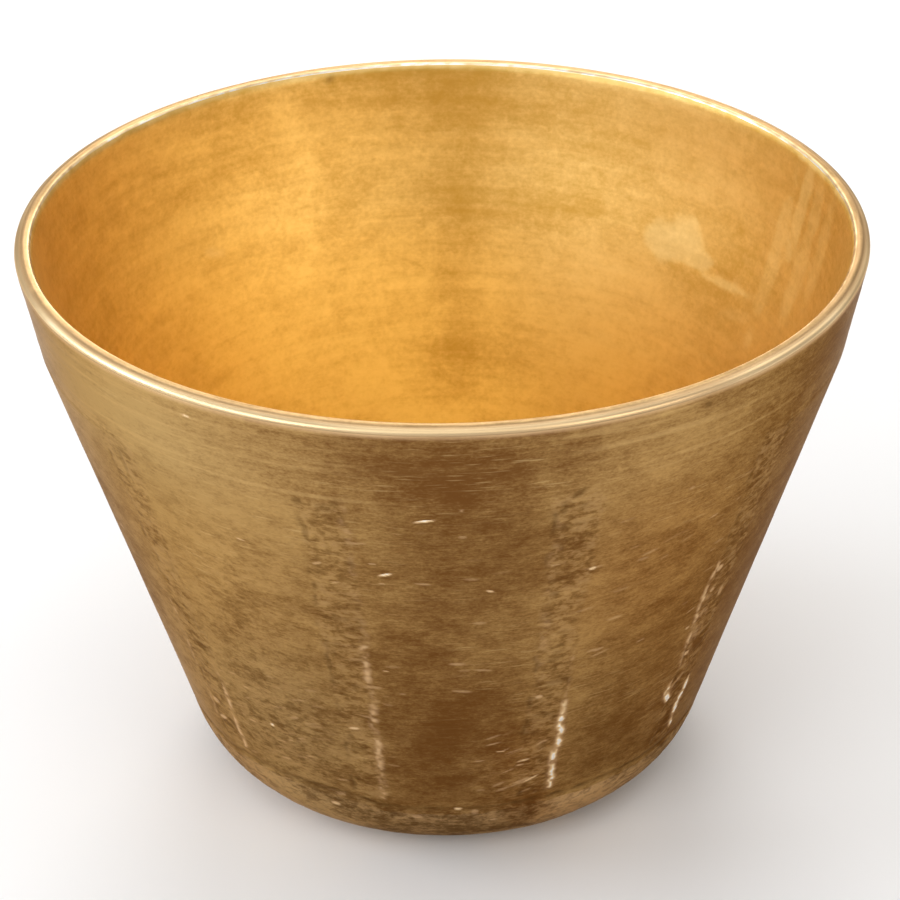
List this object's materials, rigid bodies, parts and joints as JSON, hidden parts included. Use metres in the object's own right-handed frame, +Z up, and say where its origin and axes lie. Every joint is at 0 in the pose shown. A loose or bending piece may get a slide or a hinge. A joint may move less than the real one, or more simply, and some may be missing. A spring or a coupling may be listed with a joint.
{
  "type": "planter pot",
  "caption": "Round tapered planter pot of heavy brass: turned rim collar, seamed conical wall of brazed staves and a flat-bottomed pan with a rounded edge.",
  "frame": {"origin": "centre of the flat underside, on the surface that the pot stands on", "axes": "+Z up along the pot's axis; the pot is turned so that the middle of its front stave faces -Y, within a degree; +X is to the right as seen from the front"},
  "size_m": [0.203, 0.203, 0.146],
  "materials": {
    "turned_brass": "lathe-turned brass with fine circular grooves, lightly tarnished, bright on the lip",
    "wall_brass": "sanded brass plate with fine level scratches and a warm brown, mottled patina",
    "seam_braze": "brazed seam dressed flush, rough and pitted, darker than the plates",
    "base_brass": "rough brass pan with brown and golden mottling"
  },
  "bodies": {
    "root": {"rim_collar": "turned_brass", "collar_ring_seam": "seam_braze", "wall_stave_01": "wall_brass", "wall_stave_02": "wall_brass", "wall_stave_03": "wall_brass", "wall_stave_04": "wall_brass", "wall_stave_05": "wall_brass", "wall_stave_06": "wall_brass", "wall_stave_07": "wall_brass", "wall_stave_08": "wall_brass", "wall_stave_09": "wall_brass", "wall_stave_10": "wall_brass", "wall_stave_11": "wall_brass", "upright_seam_01": "seam_braze", "upright_seam_02": "seam_braze", "upright_seam_03": "seam_braze", "upright_seam_04": "seam_braze", "upright_seam_05": "seam_braze", "upright_seam_06": "seam_braze", "upright_seam_07": "seam_braze", "upright_seam_08": "seam_braze", "upright_seam_09": "seam_braze", "upright_seam_10": "seam_braze", "upright_seam_11": "seam_braze", "base_ring_seam": "seam_braze", "base_pan": "base_brass"}
  },
  "joints": []
}
